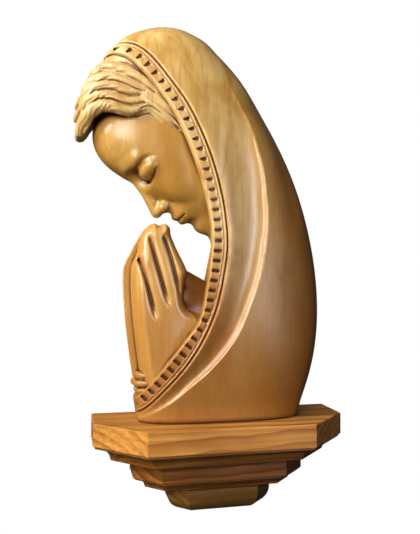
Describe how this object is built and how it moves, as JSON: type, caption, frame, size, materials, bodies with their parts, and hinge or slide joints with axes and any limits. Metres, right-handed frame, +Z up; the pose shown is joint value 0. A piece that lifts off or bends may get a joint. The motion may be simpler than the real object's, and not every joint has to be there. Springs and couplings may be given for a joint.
{
  "type": "devotional bust on wall bracket",
  "caption": "Carved wooden bust of a praying veiled woman, resting on a stepped wooden wall bracket with chamfered corners.",
  "frame": {"origin": "middle of the shelf board's back face, on the wall", "axes": "+Z up, +Y into the wall, so -Y is towards the room; the figure faces -X"},
  "size_m": [0.2681, 0.092, 0.4693],
  "materials": {
    "mantle_wood": "satin varnish, antiqued in the recesses",
    "figure_wood": "satin varnish, antiqued in the recesses",
    "hair_wood": "satin varnish, antiqued in the recesses",
    "shelf_pine": "satin varnish",
    "tier_pine": "satin varnish, darker stain",
    "dowel_wood": "plain turned",
    "zinc_plate": "zinc plated",
    "screw_steel": "passivated"
  },
  "bodies": {
    "bracket": {"shelf_board": "shelf_pine", "upper_cove": "tier_pine", "middle_board": "tier_pine", "lower_cove": "tier_pine", "bottom_boss": "tier_pine", "tier_dowel_left": "dowel_wood", "tier_dowel_right": "dowel_wood", "locating_pin_left": "dowel_wood", "locating_pin_right": "dowel_wood", "hanger_plate_left": "zinc_plate", "hanger_plate_right": "zinc_plate", "hanger_screw_left_outer": "screw_steel", "hanger_screw_left_inner": "screw_steel", "hanger_screw_right_outer": "screw_steel", "hanger_screw_right_inner": "screw_steel"},
    "bust": {"mantle": "mantle_wood", "head": "figure_wood", "hair": "hair_wood", "tunic": "figure_wood", "left_hand": "figure_wood", "right_hand": "figure_wood", "left_cuff": "figure_wood", "right_cuff": "figure_wood"}
  },
  "joints": [
    {"name": "bust_lift", "type": "slide", "parent": "bracket", "child": "bust", "axis": [0, 0, 1], "range_m": [0, 0.05]}
  ]
}
